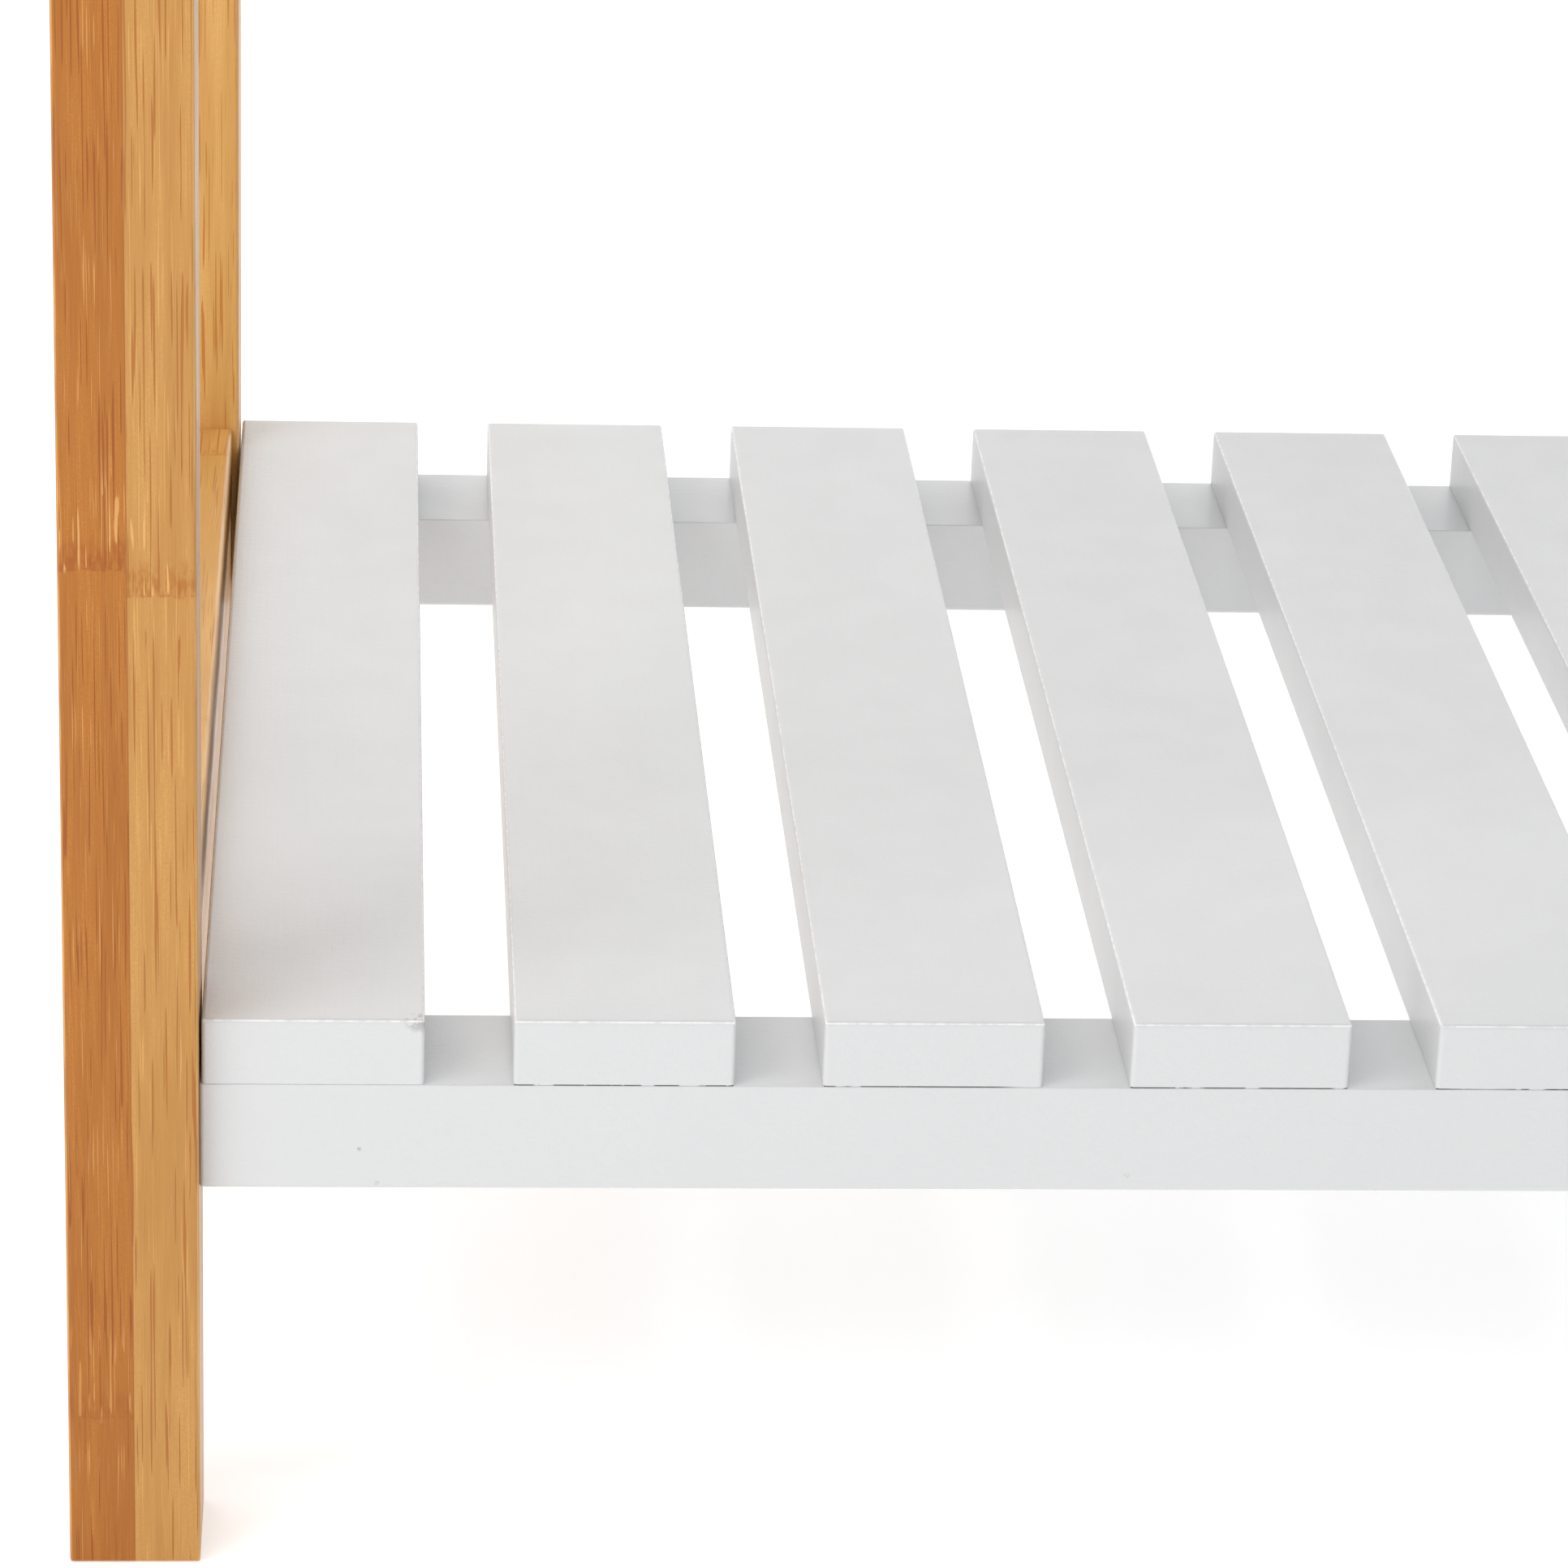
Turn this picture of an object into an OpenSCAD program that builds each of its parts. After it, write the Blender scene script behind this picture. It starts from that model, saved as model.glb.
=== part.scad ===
// Slatted bench: four square legs, side rungs, a slatted shelf and a slatted seat.
// +X runs along the bench, +Y to its back and +Z up. The origin is on the floor, at its centre.

/* [Overall] */
// Depth of the bench, front of leg to back of leg
bench_depth = 420; // [300:5:450]
// Height of the seat's top above the floor
seat_top = 450; // [400:5:500]
// Height of the shelf's top above the floor
shelf_top = 136; // [100:2:200]

/* [Legs and rungs] */
// Side of a square leg
leg = 30; // [28:1:34]
// Radius of a leg's edges
leg_round = 1; // [0.5:0.5:3]
// Thickness of a side rung
rung_thick = 26; // [22:1:28]
// Height of a side rung
rung_tall = 46; // [36:1:50]
// Height of the lower rung's top above the shelf's top
rung_rise = 6; // [0:1:20]

/* [Slats and rails] */
// Number of slats in the shelf, and in the seat
slat_count = 13; // [6:1:18]
// Width of a slat
slat_wide = 50; // [30:1:70]
// Gap between two slats
slat_gap = 20; // [10:1:30]
// Thickness of a slat
slat_thick = 16; // [12:1:20]
// Gap between an end slat and the legs beside it
end_gap = 0.5; // [0.5:0.5:3]
// Height of a rail
rail_tall = 26; // [22:1:40]
// Depth of a rail, front to back
rail_deep = 38; // [26:1:45]
// Distance that the rails and slats stand back from the legs' outer faces
set_back = 5; // [2:1:8]
// Radius of the exposed edges of slats, rails and rungs
bar_round = 1; // [0.5:0.5:2]
// Radius of the edges where a slat meets a rail
seam_round = 0.3; // [0.2:0.1:0.5]

/* [Hardware] */
// Diameter of a connector bolt
bolt_d = 6; // [5:1:6]
// Length of a connector bolt below its head
bolt_length = 50; // [48:1:56]
// Diameter of a bolt's head
bolt_head_d = 10; // [9:1:11]
// Height of a bolt's head
bolt_head_tall = 5; // [4:1:6]
// Diameter of a cross nut
nut_d = 10; // [9:1:12]
// Length of a cross nut
nut_length = 14; // [10:1:16]
// Diameter of a dowel
dowel_d = 6; // [5:1:7]
// Length of a dowel
dowel_length = 30; // [24:1:36]
// Diameter of a slat screw
screw_d = 4; // [3:0.5:4.5]
// Diameter of a slat screw's head
screw_head_d = 8; // [7:0.5:9]
// Depth that a slat screw reaches into its slat
screw_bite = 9; // [6:1:10]

/* [Hidden] */
$fn = 48;
// Clearance around hardware, on the radius
play = 0.1;
// Overshoot of a cutting shape past the face that it cuts
over = 1;
// Depth that a bolt's head is sunk below the leg's outer face
head_sink = 1;
// Distance between the two dowels in one rung end, side by side
dowel_pitch = 12;
// Height of the dowels above the middle of their rung
dowel_rise = 6;
// Spare depth at the blind end of a hole
spare = 1;

// Length of bolt inside a rail, and the distance from the rail's end to its cross nut's axis
bolt_reach = bolt_length + bolt_head_tall + head_sink - leg;
nut_inset = bolt_reach - nut_d / 2 - spare;

slat_pitch = slat_wide + slat_gap;
inner_wide = slat_count * slat_pitch - slat_gap + 2 * end_gap;
leg_x = (inner_wide + leg) / 2;
leg_y = (bench_depth - leg) / 2;
slat_length = bench_depth - 2 * set_back;
rail_y = (slat_length - rail_deep) / 2;
rung_length = bench_depth - 2 * leg;
rung_low_z = shelf_top + rung_rise - rung_tall / 2;
rung_top_z = seat_top - rung_tall / 2;
decks = [shelf_top, seat_top];
rung_levels = [rung_low_z, rung_top_z];
sides = [-1, 1];

function rail_z(deck) = deck - slat_thick - rail_tall / 2;
function slat_x(i) = (i - (slat_count - 1) / 2) * slat_pitch;
function slat_name(deck_name, i) = str(deck_name, "_slat_", i < 9 ? "0" : "", i + 1);

// Upper half of a bar's section, with rounded top corners, from its centre line up
module half_section(wide, half_tall, round) {
    translate([-wide / 2, 0])
        square([wide, half_tall - round]);
    translate([round - wide / 2, 0])
        square([wide - 2 * round, half_tall]);
    for (x = sides)
        translate([x * (wide / 2 - round), half_tall - round])
            circle(r = round);
}

// Section of a bar, centred, with its own radius at the top and at the bottom
module bar_section(wide, tall, top_round, low_round) {
    half_section(wide, tall / 2, top_round);
    mirror([0, 1])
        half_section(wide, tall / 2, low_round);
}

// Rounded block, centred: the edges along Z have side_round, those of its top and bottom their own
module block(wide, deep, tall, side_round, top_round, low_round) {
    intersection() {
        linear_extrude(tall, center = true)
            bar_section(wide, deep, side_round, side_round);
        rotate([90, 0, 0])
            linear_extrude(deep + 2 * over, center = true)
                bar_section(wide, tall, top_round, low_round);
        rotate([90, 0, 90])
            linear_extrude(wide + 2 * over, center = true)
                bar_section(deep, tall, top_round, low_round);
    }
}

// Rod along X from the origin, in the direction of side
module rod_along(side, length, d) {
    rotate([0, side * 90, 0])
        cylinder(d = d, h = length);
}

// Rod from front to back, centred
module rod_across(length, d) {
    rotate([90, 0, 0])
        cylinder(d = d, h = length, center = true);
}

// Holes in the leg at the side and end given: two for bolts, four for dowels
module leg_holes(side, end) {
    for (deck = decks)
        translate([side * (leg_x + leg / 2), end * leg_y, rail_z(deck)]) {
            translate([side * over, 0, 0])
                rod_along(-side, bolt_head_tall + head_sink + over, bolt_head_d + 4 * play);
            rod_along(-side, leg + over, bolt_d + 4 * play);
        }
    for (z = rung_levels, step = sides)
        translate([side * leg_x + step * dowel_pitch / 2, end * rung_length / 2, z + dowel_rise])
            rod_across(dowel_length + 2 * spare, dowel_d + 2 * play);
}

// Leg at the side and end given
module leg_at(side, end) {
    color("peru")
        difference() {
            translate([side * leg_x, end * leg_y, seat_top / 2])
                block(leg, leg, seat_top, leg_round, leg_round, leg_round);
            leg_holes(side, end);
        }
}

// Side rung centred at height z, with two dowel holes in each end
module rung_at(side, z) {
    color("burlywood")
        translate([side * leg_x, 0, z])
            difference() {
                block(rung_thick, rung_length, rung_tall, seam_round, bar_round, bar_round);
                for (end = sides, step = sides)
                    translate([step * dowel_pitch / 2, end * rung_length / 2, dowel_rise])
                        rod_across(dowel_length + 2 * spare, dowel_d + 2 * play);
            }
}

// Screw hole through a rail, countersunk from below, around the rail's centre
module screw_hole() {
    cylinder(d = screw_d + 2 * play, h = rail_tall + 2 * over, center = true);
    translate([0, 0, -rail_tall / 2 - over])
        cylinder(d = screw_head_d + 2 * play, h = over);
    translate([0, 0, -rail_tall / 2])
        cylinder(d1 = screw_head_d + 2 * play, d2 = screw_d + 2 * play, h = screw_head_d / 4);
}

// Rail under the slats of a deck, at the front or the back
module rail_at(end, deck) {
    color("white")
        translate([0, end * rail_y, rail_z(deck)])
            difference() {
                block(inner_wide, rail_deep, rail_tall, bar_round, seam_round, bar_round);
                for (side = sides)
                    translate([side * inner_wide / 2, end * (leg_y - rail_y), 0]) {
                        translate([side * over, 0, 0])
                            rod_along(-side, bolt_reach + spare + over, bolt_d + 4 * play);
                        translate([-side * nut_inset, 0, -rail_tall / 2 - over])
                            cylinder(d = nut_d + 2 * play, h = (rail_tall + nut_length) / 2 + over);
                    }
                for (i = [0 : slat_count - 1])
                    translate([slat_x(i) + screw_step(i), 0, 0])
                        screw_hole();
            }
}

// Sideways step of an end slat's screws, which keeps them clear of the bolts and cross nuts
function screw_step(i) = (i == 0 ? 1 : i == slat_count - 1 ? -1 : 0) * slat_wide / 4;

// Slat number i of a deck, with a blind screw hole over each rail
module slat_at(i, deck) {
    color("white")
        difference() {
            translate([slat_x(i), 0, deck - slat_thick / 2])
                block(slat_wide, slat_length, slat_thick, bar_round, bar_round, seam_round);
            for (end = sides)
                translate([slat_x(i) + screw_step(i), end * rail_y, deck - slat_thick - over])
                    cylinder(d = screw_d + play, h = screw_bite + spare + over);
        }
}

// Bolts through the legs into the ends of the rails, with socket heads
module connector_bolts() {
    socket_d = bolt_d * 0.7;
    socket_deep = bolt_head_tall * 0.6;
    color("silver")
        for (side = sides, end = sides, deck = decks)
            translate([side * (leg_x + leg / 2 - head_sink), end * leg_y, rail_z(deck)])
                difference() {
                    union() {
                        rod_along(-side, bolt_head_tall, bolt_head_d);
                        rod_along(-side, bolt_head_tall + bolt_length, bolt_d);
                    }
                    translate([side * over, 0, 0])
                        rotate([0, -side * 90, 0])
                            cylinder(d = socket_d, h = socket_deep + over, $fn = 6);
                }
}

// Cross nuts in the rails, each with a hole for its bolt
module cross_nuts() {
    color("silver")
        for (side = sides, end = sides, deck = decks)
            translate([side * (inner_wide / 2 - nut_inset), end * leg_y, rail_z(deck)])
                difference() {
                    cylinder(d = nut_d, h = nut_length, center = true);
                    rotate([0, 90, 0])
                        cylinder(d = bolt_d + play, h = nut_d + 2 * over, center = true);
                }
}

// Dowels between the rungs and the legs
module rung_dowels() {
    color("tan")
        for (side = sides, end = sides, z = rung_levels, step = sides)
            translate([side * leg_x + step * dowel_pitch / 2, end * rung_length / 2, z + dowel_rise])
                rod_across(dowel_length, dowel_d);
}

// Screws up through both rails into the slats of a deck
module deck_screws(deck) {
    color("silver")
        for (i = [0 : slat_count - 1], end = sides)
            translate([slat_x(i) + screw_step(i), end * rail_y, deck - slat_thick - rail_tall]) {
                cylinder(d = screw_d, h = rail_tall + screw_bite);
                cylinder(d1 = screw_head_d, d2 = screw_d, h = screw_head_d / 4);
            }
}

leg_at(-1, -1);  // leg_front_left
leg_at(1, -1);  // leg_front_right
leg_at(-1, 1);  // leg_back_left
leg_at(1, 1);  // leg_back_right
rung_at(-1, rung_low_z);  // rung_low_left
rung_at(1, rung_low_z);  // rung_low_right
rung_at(-1, rung_top_z);  // rung_top_left
rung_at(1, rung_top_z);  // rung_top_right
rail_at(-1, shelf_top);  // shelf_rail_front
rail_at(1, shelf_top);  // shelf_rail_back
rail_at(-1, seat_top);  // seat_rail_front
rail_at(1, seat_top);  // seat_rail_back
for (i = [0 : slat_count - 1]) {
    slat_at(i, shelf_top);
    slat_at(i, seat_top);
}
connector_bolts();
cross_nuts();
rung_dowels();
deck_screws(shelf_top);  // shelf_screws
deck_screws(seat_top);  // seat_screws
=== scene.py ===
"""Slatted bench: laminated bamboo legs and rungs, white painted slats and rails."""
import math
import random

import bmesh
import bpy
from mathutils import Matrix, Vector

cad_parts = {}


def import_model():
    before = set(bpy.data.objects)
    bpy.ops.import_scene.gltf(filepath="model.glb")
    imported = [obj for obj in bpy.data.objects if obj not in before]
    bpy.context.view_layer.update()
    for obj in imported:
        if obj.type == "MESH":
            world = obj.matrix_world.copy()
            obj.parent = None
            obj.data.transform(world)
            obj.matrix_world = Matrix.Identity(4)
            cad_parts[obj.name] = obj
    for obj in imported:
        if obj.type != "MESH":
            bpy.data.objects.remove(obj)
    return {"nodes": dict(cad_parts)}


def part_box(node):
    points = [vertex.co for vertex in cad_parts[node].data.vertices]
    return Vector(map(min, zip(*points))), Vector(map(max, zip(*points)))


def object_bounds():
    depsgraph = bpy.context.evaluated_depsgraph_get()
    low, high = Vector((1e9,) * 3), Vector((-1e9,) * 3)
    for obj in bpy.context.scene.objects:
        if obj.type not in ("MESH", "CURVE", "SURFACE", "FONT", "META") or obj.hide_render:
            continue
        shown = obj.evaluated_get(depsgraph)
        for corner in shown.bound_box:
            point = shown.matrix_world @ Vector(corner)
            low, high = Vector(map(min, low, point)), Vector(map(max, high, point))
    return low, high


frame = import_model()
nodes = frame["nodes"]
cad_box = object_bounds()

MM = 0.001


# ---------------------------------------------------------------- shader helpers

def linear(red, green, blue):
    """Scene-linear RGBA of an 8-bit display colour."""
    def channel(value):
        value /= 255
        return value / 12.92 if value <= 0.04045 else ((value + 0.055) / 1.055) ** 2.4
    return (channel(red), channel(green), channel(blue), 1.0)


class Nodes:
    """Adds nodes to a node tree. Values passed in may be sockets or plain numbers."""

    def __init__(self, tree):
        self.tree = tree

    def add(self, kind, **settings):
        node = self.tree.nodes.new(kind)
        for key, value in settings.items():
            setattr(node, key, value)
        return node

    def put(self, socket, value):
        if isinstance(value, bpy.types.NodeSocket):
            self.tree.links.new(value, socket)
        else:
            socket.default_value = value

    def math(self, operation, a, b=0.0):
        node = self.add("ShaderNodeMath", operation=operation)
        self.put(node.inputs[0], a)
        self.put(node.inputs[1], b)
        return node.outputs[0]


class Graph(Nodes):
    """Builds one material around its Principled BSDF, from the position on the piece."""

    def __init__(self, name):
        self.material = bpy.data.materials.new(name)
        self.material.use_nodes = True
        super().__init__(self.material.node_tree)
        self.shader = self.tree.nodes["Principled BSDF"]
        self.position = self.add("ShaderNodeTexCoord").outputs["Object"]

    def remap(self, value, low, high, to_low=0.0, to_high=1.0, smooth=True):
        """value between low and high, eased, as a number between to_low and to_high."""
        node = self.add("ShaderNodeMapRange", clamp=True)
        node.interpolation_type = "SMOOTHSTEP" if smooth else "LINEAR"
        self.put(node.inputs["Value"], value)
        limits = {"From Min": low, "From Max": high, "To Min": to_low, "To Max": to_high}
        for key, number in limits.items():
            self.put(node.inputs[key], number)
        return node.outputs["Result"]

    def hill(self, value, start, full, fade, end):
        """1 for a value between full and fade, easing to 0 at start and at end."""
        rise = self.remap(value, start, full)
        return self.math("MULTIPLY", rise, self.remap(value, fade, end, 1.0, 0.0))

    def mix(self, amount, a, b):
        node = self.add("ShaderNodeMix", data_type="RGBA")
        self.put(node.inputs[0], amount)
        self.put(node.inputs[6], a)
        self.put(node.inputs[7], b)
        return node.outputs[2]

    def stretched(self, sizes, seed):
        """The position in units of sizes, in metres along X, Y and Z, moved by seed."""
        scale = self.add("ShaderNodeVectorMath", operation="DIVIDE")
        self.put(scale.inputs[0], self.position)
        scale.inputs[1].default_value = sizes
        move = self.add("ShaderNodeVectorMath", operation="ADD")
        self.put(move.inputs[0], scale.outputs[0])
        move.inputs[1].default_value = seed
        return move.outputs[0]

    def noise(self, sizes, seed, detail=2.0, roughness=0.5, distortion=0.0):
        node = self.add("ShaderNodeTexNoise")
        self.put(node.inputs["Vector"], self.stretched(sizes, seed))
        node.inputs["Scale"].default_value = 1.0
        node.inputs["Detail"].default_value = detail
        node.inputs["Roughness"].default_value = roughness
        node.inputs["Distortion"].default_value = distortion
        return node.outputs["Fac"]

    def axis(self, index):
        node = self.add("ShaderNodeSeparateXYZ")
        self.put(node.inputs[0], self.position)
        return node.outputs[index]

    def distance(self, point):
        node = self.add("ShaderNodeVectorMath", operation="DISTANCE")
        self.put(node.inputs[0], self.position)
        node.inputs[1].default_value = point
        return node.outputs["Value"]

    def inset(self, index, low, high):
        """Distance inwards from the nearer end of a box, along one axis."""
        middle = (low[index] + high[index]) / 2
        from_middle = self.math("ABSOLUTE", self.math("SUBTRACT", self.axis(index), middle))
        return self.math("SUBTRACT", (high[index] - low[index]) / 2, from_middle)

    def bump(self, height, depth, normal=None):
        node = self.add("ShaderNodeBump")
        node.inputs["Strength"].default_value = 1.0
        node.inputs["Distance"].default_value = depth
        self.put(node.inputs["Height"], height)
        if normal:
            self.put(node.inputs["Normal"], normal)
        return node.outputs[0]


def seed_from(rng):
    """A random offset for a noise texture."""
    return tuple(rng.uniform(-50, 50) for _ in range(3))


def along(axis, across, length):
    """Sizes of a streak that runs along an axis: length along it, across in the other two."""
    sizes = [across] * 3
    sizes[axis] = length
    return tuple(sizes)


# Insets from a piece's outer faces between which the painted highlights on its edges fade out
EDGE_BAND = (0.3 * MM, 0.6 * MM)


# ---------------------------------------------------------------- bamboo

# Display colours, and tints that multiply a linear colour
DARK_STRIP = (181, 112, 36)
LIGHT_STRIP = (200, 147, 78)
# A lighter copy of the bamboo: painted light on the back legs and rungs, and the colour of the
# painted highlight on bamboo edges
PAINTED_LIGHT_STRIP = (234, 181, 105)
STREAK_TINT = (0.72, 0.50, 0.30)
NODE_TINT = (0.74, 0.52, 0.30)
DEEP_TINT = (0.86, 0.79, 0.68)
LIGHT_TINT = 1.04
PORE_TINT = 0.84
FLECK_LIGHT = (232, 178, 108)
GLUE_BROWN = (158, 96, 44)

# Width and length of each kind of mark in the bamboo, in millimetres
GRAIN = {
    "tone": (5, 80),
    "fibre": (0.3, 16),
    "crowd": (4, 60),
    "dark_streak": (0.42, 30),
    "light_streak": (0.32, 26),
    "curl": (0.7, 14),
    "mottle": (1.1, 3),
    "glue": (8, 22),
    "sheen": (6, 40),
}


def grain(kind, long_axis):
    """Noise sizes of one kind of mark that runs along long_axis."""
    across, length = GRAIN[kind]
    return along(long_axis, across * MM, length * MM)


def bamboo(name, long_axis, split_axis, strips, rings, rng):
    """Two laminated strips of bamboo, glued on the middle plane of the piece across split_axis.

    strips holds the display colour of the strip below that plane and of the one above it.
    rings holds, for each strip, its nodes: each a place along the long axis and a strength.
    """
    g = Graph("bamboo_" + name)
    low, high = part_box(name)
    place = g.axis(long_axis)
    offset = g.math("SUBTRACT", g.axis(split_axis), (low[split_axis] + high[split_axis]) / 2)
    upper = g.math("GREATER_THAN", offset, 0.0)
    surfaces = [
        bamboo_strip(g, long_axis, place, strip, ring, rng) for strip, ring in zip(strips, rings)
    ]
    colour = g.mix(upper, surfaces[0][0], surfaces[1][0])
    height_mix = g.add("ShaderNodeMix", data_type="FLOAT")
    g.put(height_mix.inputs[0], upper)
    g.put(height_mix.inputs[2], surfaces[0][1])
    g.put(height_mix.inputs[3], surfaces[1][1])
    height = height_mix.outputs[0]

    glue = g.remap(g.math("ABSOLUTE", offset), 0.05 * MM, 0.2 * MM, 1.0, 0.0)
    broken = g.remap(g.noise(grain("glue", long_axis), seed_from(rng)), 0.35, 0.6, 0.2, 0.7)
    colour = g.mix(g.math("MULTIPLY", glue, broken), colour, linear(*GLUE_BROWN))
    # Painted highlight: a broken pale line along the long edges, standing in for light caught on
    # their rounded corners
    insets = [g.inset(axis, low, high) for axis in range(3) if axis != long_axis]
    painted_rim_highlight = g.remap(g.math("MAXIMUM", *insets), *EDGE_BAND, 1.0, 0.0)
    colour = g.mix(g.math("MULTIPLY", painted_rim_highlight, broken), colour, linear(*PAINTED_LIGHT_STRIP))

    g.put(g.shader.inputs["Base Color"], colour)
    sheen = g.noise(grain("sheen", long_axis), seed_from(rng))
    g.put(g.shader.inputs["Roughness"], g.remap(sheen, 0.3, 0.7, 0.32, 0.44))
    g.shader.inputs["Specular IOR Level"].default_value = 0.3
    g.shader.inputs["Coat Weight"].default_value = 0.12
    g.shader.inputs["Coat Roughness"].default_value = 0.12
    height = g.math("SUBTRACT", height, g.math("MULTIPLY", glue, 0.5))
    g.put(g.shader.inputs["Normal"], g.bump(height, 0.07 * MM))
    return g.material


def bamboo_strip(g, long_axis, place, colour, rings, rng):
    """Colour and height sockets of one strip, with fibres along long_axis and nodes at rings."""
    base = linear(*colour)
    streak = tinted(base, STREAK_TINT)
    pale = linear(*FLECK_LIGHT)
    tone = g.noise(grain("tone", long_axis), seed_from(rng))
    surface = g.mix(g.remap(tone, 0.32, 0.68), tinted(base, DEEP_TINT), tinted(base, LIGHT_TINT))

    fibres = g.noise(grain("fibre", long_axis), seed_from(rng))
    surface = g.mix(g.remap(fibres, 0.3, 0.55, 0.22, 0.0), surface, streak)
    surface = g.mix(g.remap(fibres, 0.5, 0.75, 0.0, 0.15), surface, pale)

    pores = g.noise((0.5 * MM,) * 3, seed_from(rng), detail=1.0)
    surface = g.mix(g.remap(pores, 0.3, 0.7, 0.5, 0.0), surface, tinted(base, PORE_TINT))

    crowd = g.noise(grain("crowd", long_axis), seed_from(rng))
    dark = g.noise(grain("dark_streak", long_axis), seed_from(rng), detail=0.0)
    dark = g.math("ADD", dark, g.remap(crowd, 0.3, 0.7, -0.09, 0.03))
    dark = g.remap(dark, 0.64, 0.69, 0.0, 0.95)
    light = g.noise(grain("light_streak", long_axis), seed_from(rng), detail=0.0)
    curl = g.noise(grain("curl", long_axis), seed_from(rng), detail=0.0, distortion=0.35)
    wave = g.remap(g.noise((3 * MM,) * 3, seed_from(rng)), 0.25, 0.75, -1.5 * MM, 1.5 * MM, False)
    mottle = g.noise(grain("mottle", long_axis), seed_from(rng), detail=3.0)

    for ring, strength in rings:
        above = g.math("SUBTRACT", place, ring)
        wavy = g.math("ADD", above, wave)
        clear = g.hill(wavy, -11 * MM, -7 * MM, 0.0, 2 * MM)
        crown = g.hill(wavy, -1 * MM, 1 * MM, 3 * MM, 9 * MM)
        flow = g.hill(wavy, -1 * MM, 1 * MM, 10 * MM, 30 * MM)
        dark = g.math("MULTIPLY", dark, g.remap(clear, 0.0, 1.0, 1.0, 1.0 - strength, False))
        mottled = g.remap(mottle, 0.38, 0.62, 0.2 * strength, 0.9 * strength)
        shade = g.math("MULTIPLY", crown, mottled)
        surface = g.mix(shade, surface, tinted(base, NODE_TINT))
        flecks = g.math("MULTIPLY", flow, g.remap(curl, 0.66, 0.71, 0.0, 0.75 * strength))
        surface = g.mix(flecks, surface, pale)
        line_at = g.math("ABSOLUTE", g.math("ADD", above, g.math("MULTIPLY", wave, 0.3)))
        line = g.remap(line_at, 0.08 * MM, 0.4 * MM, 0.75 * strength, 0.0)
        line = g.math("MULTIPLY", line, g.remap(mottle, 0.38, 0.6, 0.1, 1.0))
        surface = g.mix(line, surface, streak)

    surface = g.mix(dark, surface, streak)
    surface = g.mix(g.remap(light, 0.70, 0.76, 0.0, 0.4), surface, pale)
    height = g.math("SUBTRACT", g.remap(fibres, 0.3, 0.7, 0.0, 0.35), g.math("MULTIPLY", dark, 0.8))
    return surface, height


def tinted(colour, factor):
    """A colour made darker or lighter by factor: one number, or one for each channel."""
    factors = factor if isinstance(factor, tuple) else (factor,) * 3
    return tuple(min(1.0, channel * f) for channel, f in zip(colour, factors)) + (1.0,)


# ---------------------------------------------------------------- white paint

PAINT_WHITE = (0.677, 0.684, 0.691, 1.0)
MARK_GREY = (150, 148, 146)
# Colour of the painted shade in the open cracks of the seams
CRACK_SHADE_GREY = (70, 66, 63)
# Colour of the painted highlight along the slats' top edges
HIGHLIGHT_WHITE = (0.95, 0.95, 0.95, 1.0)
WHOLE_SEAMS = ("shelf_slat_01",)
# Insets from a slat's ends, and heights above its underside, between which the painted shade of a
# crack fades out
CRACK_INSET = (0.3 * MM, 0.45 * MM)
CRACK_RISE = (0.26 * MM, 0.38 * MM)


def paint(name, grain_axis, rng, marks):
    """White satin paint over wood whose grain runs along grain_axis.

    marks holds the scuffs and specks on the piece, each a point, a radius and a strength.
    """
    g = Graph("paint_" + name)
    wood = along(grain_axis, 1.1 * MM, 26 * MM)
    raised = g.noise(wood, seed_from(rng), detail=3.0, roughness=0.6)
    cloud = g.noise((38 * MM,) * 3, seed_from(rng))
    colour = g.mix(g.remap(cloud, 0.3, 0.7), tinted(PAINT_WHITE, 0.99), tinted(PAINT_WHITE, 1.005))
    colour = g.mix(g.remap(raised, 0.62, 0.75, 0.0, 0.10), colour, tinted(PAINT_WHITE, 0.8))
    grit = g.noise((0.5 * MM,) * 3, seed_from(rng), detail=1.0)
    colour = g.mix(g.remap(grit, 0.3, 0.7), tinted(PAINT_WHITE, 0.985), colour)
    for point, radius, strength in marks:
        ragged = g.noise((radius * 0.45,) * 3, seed_from(rng))
        inside = g.remap(g.distance(point), radius * 0.35, radius, 1.0, 0.0)
        blot = g.math("MULTIPLY", inside, g.remap(ragged, 0.42, 0.55, 0.0, strength))
        colour = g.mix(blot, colour, linear(*MARK_GREY))
    if "_slat_" in name:
        colour = slat_edges(g, colour, *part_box(name), name not in WHOLE_SEAMS, rng)
    g.put(g.shader.inputs["Base Color"], colour)

    gloss = g.noise((14 * MM,) * 3, seed_from(rng), detail=3.0)
    g.put(g.shader.inputs["Roughness"], g.remap(gloss, 0.3, 0.7, 0.44, 0.50))
    g.shader.inputs["Coat Weight"].default_value = 0.25
    g.shader.inputs["Coat Roughness"].default_value = 0.18
    peel = g.noise((2.4 * MM, 1.2 * MM, 1.2 * MM), seed_from(rng))
    coarse = g.bump(g.math("ADD", peel, g.math("MULTIPLY", raised, 0.7)), 0.09 * MM)
    g.put(g.shader.inputs["Normal"], g.bump(grit, 0.04 * MM, coarse))
    return g.material


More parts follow.
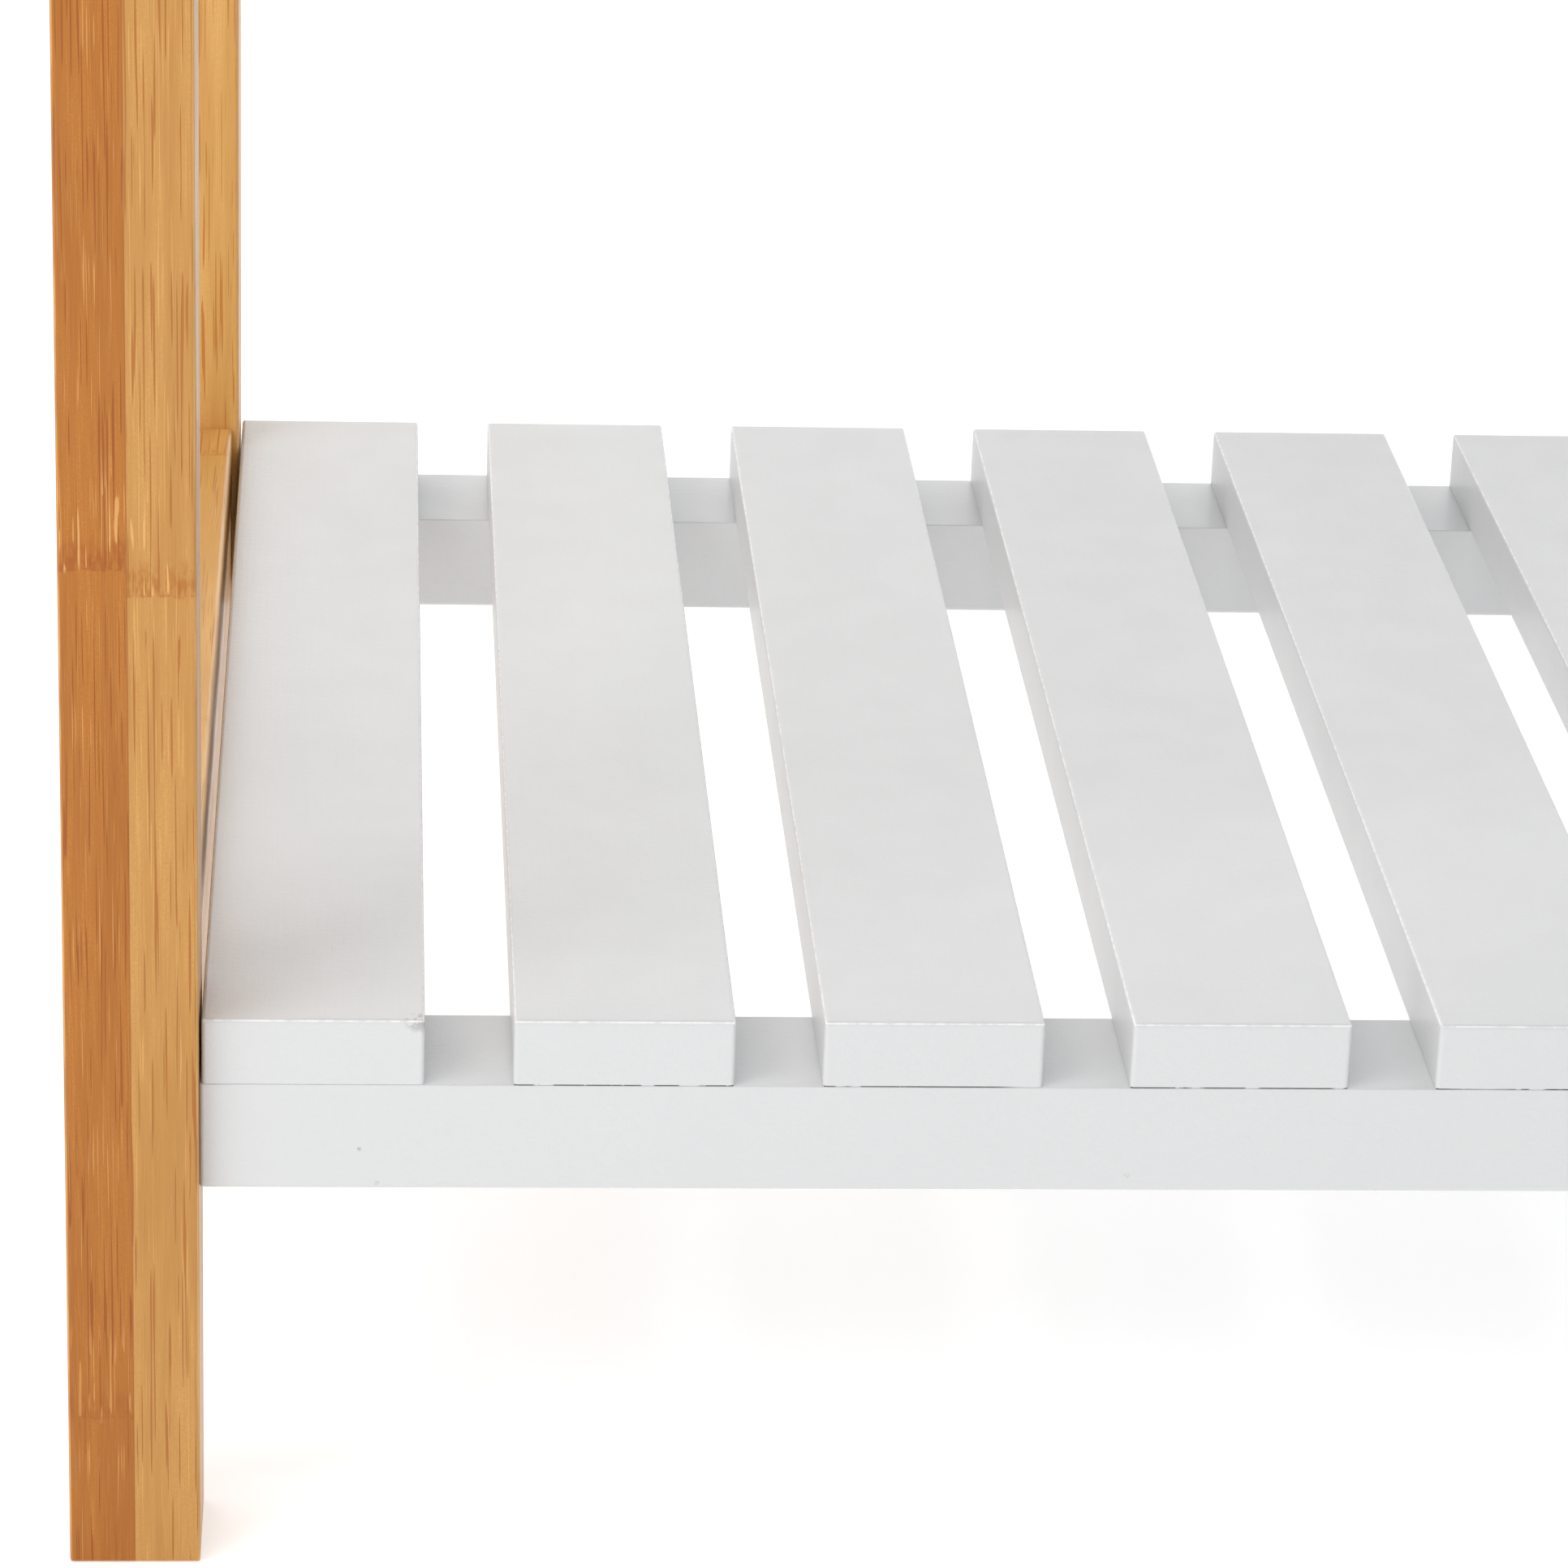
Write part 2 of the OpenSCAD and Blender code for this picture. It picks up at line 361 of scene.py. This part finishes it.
def slat_edges(g, colour, low, high, cracked, rng):
    """A slat's colour with a painted highlight along its top edges, and painted shade in the open
    cracks of its seams.
    """
    in_x = g.inset(0, low, high)
    in_y = g.inset(1, low, high)
    drop = g.math("SUBTRACT", high.z, g.axis(2))
    # Painted highlight: a broken bright line along the top edges, where light would glint
    side = g.remap(g.math("MINIMUM", in_x, in_y), *EDGE_BAND, 1.0, 0.0)
    painted_highlight = g.math("MULTIPLY", side, g.remap(drop, *EDGE_BAND, 1.0, 0.0))
    patchy = g.remap(g.noise((2.5 * MM,) * 3, seed_from(rng), detail=3.0), 0.35, 0.6, 0.3, 0.9)
    colour = g.mix(g.math("MULTIPLY", painted_highlight, patchy), colour, HIGHLIGHT_WHITE)
    if not cracked:
        return colour
    # Painted shade: a broken dark line low on the front end, standing in for the shade inside the
    # hairline cracks
    rise = g.math("SUBTRACT", g.axis(2), low.z)
    end = g.remap(in_y, *CRACK_INSET, 1.0, 0.0)
    crack_shade = g.math("MULTIPLY", g.remap(rise, *CRACK_RISE, 1.0, 0.0), end)
    broken = g.remap(g.noise((4 * MM,) * 3, seed_from(rng), detail=3.0), 0.40, 0.48)
    stretch = g.noise((30 * MM, 400 * MM, 400 * MM), seed_from(rng), detail=0.0)
    open_part = g.remap(stretch, 0.42, 0.55)
    crack_shade = g.math("MULTIPLY", crack_shade, g.math("MULTIPLY", broken, open_part))
    return g.mix(crack_shade, colour, linear(*CRACK_SHADE_GREY))


# ---------------------------------------------------------------- metal and raw wood

ZINC_DARK, ZINC_LIGHT = (176, 178, 182), (212, 213, 214)
BEECH_DARK, BEECH_LIGHT = (196, 156, 112), (222, 188, 146)


def zinc(name, rng):
    """Zinc plated steel, faintly clouded."""
    g = Graph(name)
    cloud = g.noise((1.6 * MM,) * 3, seed_from(rng), detail=3.0)
    g.put(g.shader.inputs["Base Color"], g.mix(cloud, linear(*ZINC_DARK), linear(*ZINC_LIGHT)))
    g.shader.inputs["Metallic"].default_value = 1.0
    g.put(g.shader.inputs["Roughness"], g.remap(cloud, 0.3, 0.7, 0.26, 0.42))
    g.put(g.shader.inputs["Normal"], g.bump(g.noise((0.3 * MM,) * 3, seed_from(rng)), 0.01 * MM))
    return g.material


def beech(name, rng):
    """Raw beech, for the dowels, with its grain from front to back."""
    g = Graph(name)
    fibres = g.noise(along(1, 0.5 * MM, 12 * MM), seed_from(rng), detail=3.0)
    g.put(g.shader.inputs["Base Color"], g.mix(fibres, linear(*BEECH_DARK), linear(*BEECH_LIGHT)))
    g.shader.inputs["Roughness"].default_value = 0.65
    g.put(g.shader.inputs["Normal"], g.bump(fibres, 0.05 * MM))
    return g.material


def dress(node, material):
    """Gives a CAD node one material."""
    mesh = nodes[node].data
    mesh.materials.clear()
    mesh.materials.append(material)


# ---------------------------------------------------------------- materials on the CAD nodes

# Distance between the bamboo's nodes, in millimetres
NODE_SPACING = 200
# Nodes that the photograph shows, for each strip of a leg: height up the leg and strength
LEG_RINGS = {"leg_front_left": ([(38 * MM, 0.45), (245 * MM, 0.8)], [(239 * MM, 1.0)])}
# The back legs carry the lighter, painted-light strip instead of the front legs' tones
LEG_STRIPS = {
    "leg_front_left": (DARK_STRIP, LIGHT_STRIP),
    "leg_front_right": (LIGHT_STRIP, DARK_STRIP),
    "leg_back_left": (PAINTED_LIGHT_STRIP, PAINTED_LIGHT_STRIP),
    "leg_back_right": (LIGHT_STRIP, PAINTED_LIGHT_STRIP),
}


def random_rings(low, high, rng):
    """Nodes of the bamboo at a regular spacing between low and high, of random strength."""
    first = low + rng.uniform(0, NODE_SPACING) * MM
    count = max(1, math.ceil((high - first) / (NODE_SPACING * MM)))
    return [(first + i * NODE_SPACING * MM, rng.uniform(0.5, 1.0)) for i in range(count)]


rng = random.Random(11)
for name, strips in LEG_STRIPS.items():
    low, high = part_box(name)
    rings = LEG_RINGS.get(name) or [random_rings(low.z, high.z, rng) for strip in strips]
    dress(name, bamboo(name, 2, 0, strips, rings, rng))

for name in ("rung_low_left", "rung_low_right", "rung_top_left", "rung_top_right"):
    low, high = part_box(name)
    # The rungs get lighter strips than the legs: painted light that lifts their shaded faces
    strips = (LIGHT_STRIP, PAINTED_LIGHT_STRIP)
    rings = [random_rings(low.y, high.y, rng) for strip in strips]
    dress(name, bamboo(name, 1, 2, strips, rings, rng))

slat_low, slat_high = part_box("shelf_slat_01")
rail_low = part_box("shelf_rail_front")[0]
MARKS = {
    "shelf_slat_01": [((slat_high.x - 1.5 * MM, slat_low.y + 1 * MM, slat_high.z), 4 * MM, 0.6)],
    "shelf_rail_front": [
        ((rail_low.x + 36 * MM, rail_low.y, rail_low.z + 10 * MM), 0.7 * MM, 1.0),
        ((rail_low.x + 40 * MM, rail_low.y, rail_low.z + 1.5 * MM), 0.8 * MM, 0.4),
        ((rail_low.x + 211 * MM, rail_low.y, rail_low.z + 4 * MM), 0.9 * MM, 0.35),
    ],
}
for name in sorted(nodes):
    if "_slat_" in name or "_rail_" in name:
        dress(name, paint(name, 1 if "_slat_" in name else 0, rng, MARKS.get(name, ())))

steel = zinc("zinc_steel", rng)
for name in ("connector_bolts", "cross_nuts", "shelf_screws", "seat_screws"):
    dress(name, steel)
dress("rung_dowels", beech("beech", rng))


# ---------------------------------------------------------------- floor, light and camera

UP = Vector((0.0, 0.0, 1.0))
WHITE = (1.0, 1.0, 1.0, 1.0)
FLOOR_WHITE = (0.93, 0.93, 0.93, 1.0)
FLOOR_GLOW = 0.36
FLOOR_REACH = 8.0
FLOOR_DROP = 0.1 * MM
# Strength of the light from each (axis, sign), and how sharply each falls off
LOBE_POWER = 2.0
SKY = {("X", -1): 0.75, ("X", 1): 0.75, ("Y", -1): 0.36, ("Y", 1): 2.0, ("Z", 1): 0.42}
AIM_FROM_LEFT = 0.2
LIGHT_DISTANCE = 2.2
LIGHT_RISE = math.radians(38)
KEY_TURN, KEY_SIZE, KEY_POWER = math.radians(48), 1.2, 15.0
FRONT_TURN, FRONT_SIZE, FRONT_POWER = math.radians(10), 0.8, 7.0
EDGE_PLACE, EDGE_SIZE, EDGE_POWER = (-0.2, -0.85, 1.75), 0.15, 1.2
CAMERA_FROM_CORNER = Vector((0.0681, -1.2274, 0.7045))
CAMERA_PITCH = math.radians(22.44)
CAMERA_YAW = math.radians(4.23)
CAMERA_ROLL = math.radians(2.07)
CAMERA_LENS = 138.6
SENSOR_WIDTH = 36.0


def floor():
    """A large pale floor, a hair under the feet."""
    bm = bmesh.new()
    bmesh.ops.create_grid(bm, x_segments=1, y_segments=1, size=FLOOR_REACH)
    mesh = bpy.data.meshes.new("floor")
    bm.to_mesh(mesh)
    bm.free()
    obj = bpy.data.objects.new("floor", mesh)
    bpy.context.scene.collection.objects.link(obj)
    obj.location.z = -FLOOR_DROP
    g = Graph("floor")
    g.shader.inputs["Base Color"].default_value = FLOOR_WHITE
    g.shader.inputs["Roughness"].default_value = 0.9
    g.shader.inputs["Specular IOR Level"].default_value = 0.0
    g.shader.inputs["Emission Color"].default_value = WHITE
    g.shader.inputs["Emission Strength"].default_value = FLOOR_GLOW
    mesh.materials.append(g.material)


def area_light(name, place, target, size, power):
    """A square soft light at place, aimed at target."""
    data = bpy.data.lights.new(name, "AREA")
    data.shape = "SQUARE"
    data.size = size
    data.energy = power
    obj = bpy.data.objects.new(name, data)
    obj.location = place
    obj.rotation_euler = (Vector(target) - Vector(place)).to_track_quat("-Z", "Y").to_euler()
    bpy.context.scene.collection.objects.link(obj)


def light_place(target, turn):
    """A place raised above the front of target, turned to its left by an angle."""
    level = Vector((-math.sin(turn), -math.cos(turn), 0.0))
    direction = level * math.cos(LIGHT_RISE) + UP * math.sin(LIGHT_RISE)
    return target + direction * LIGHT_DISTANCE


def world(levels):
    """Soft white light from all round, with a strength for each (axis, sign) it comes from."""
    made = bpy.data.worlds.new("studio")
    made.use_nodes = True
    g = Nodes(made.node_tree)
    direction = g.add("ShaderNodeSeparateXYZ")
    g.put(direction.inputs[0], g.add("ShaderNodeTexCoord").outputs["Generated"])
    total = 0.0
    for (axis, sign), strength in levels.items():
        facing = g.math("MAXIMUM", g.math("MULTIPLY", direction.outputs[axis], sign), 0.0)
        lobe = g.math("MULTIPLY", g.math("POWER", facing, LOBE_POWER), strength)
        total = g.math("ADD", lobe, total)
    background = g.tree.nodes["Background"]
    background.inputs["Color"].default_value = WHITE
    g.put(background.inputs["Strength"], total)
    bpy.context.scene.world = made


def camera(place, pitch, yaw, roll, lens):
    """A camera at place, turned from +Y to the right by yaw, then down by pitch, then rolled."""
    data = bpy.data.cameras.new("camera")
    data.sensor_width = SENSOR_WIDTH
    data.lens = lens
    obj = bpy.data.objects.new("camera", data)
    ahead = Vector((math.sin(yaw), math.cos(yaw), 0.0))
    forward = ahead * math.cos(pitch) - UP * math.sin(pitch)
    right = forward.cross(UP).normalized()
    up = right.cross(forward)
    tilted_right = right * math.cos(roll) + up * math.sin(roll)
    tilted_up = up * math.cos(roll) - right * math.sin(roll)
    turn = Matrix((tilted_right, tilted_up, -forward)).transposed()
    obj.matrix_world = Matrix.Translation(place) @ turn.to_4x4()
    bpy.context.scene.collection.objects.link(obj)
    bpy.context.scene.camera = obj


floor()
world(SKY)
corner = Vector((cad_box[0].x, cad_box[0].y, 0.0))
shelf_middle = Vector((cad_box[0].x + AIM_FROM_LEFT, 0.0, slat_high.z))
area_light("edge_light", EDGE_PLACE, shelf_middle, EDGE_SIZE, EDGE_POWER)
key_place = light_place(shelf_middle, KEY_TURN)
area_light("key", key_place, shelf_middle, KEY_SIZE, KEY_POWER)
front_place = light_place(shelf_middle, FRONT_TURN)
area_light("front_light", front_place, shelf_middle, FRONT_SIZE, FRONT_POWER)
camera(corner + CAMERA_FROM_CORNER, CAMERA_PITCH, CAMERA_YAW, CAMERA_ROLL, CAMERA_LENS)
bpy.context.scene.view_settings.view_transform = "Standard"
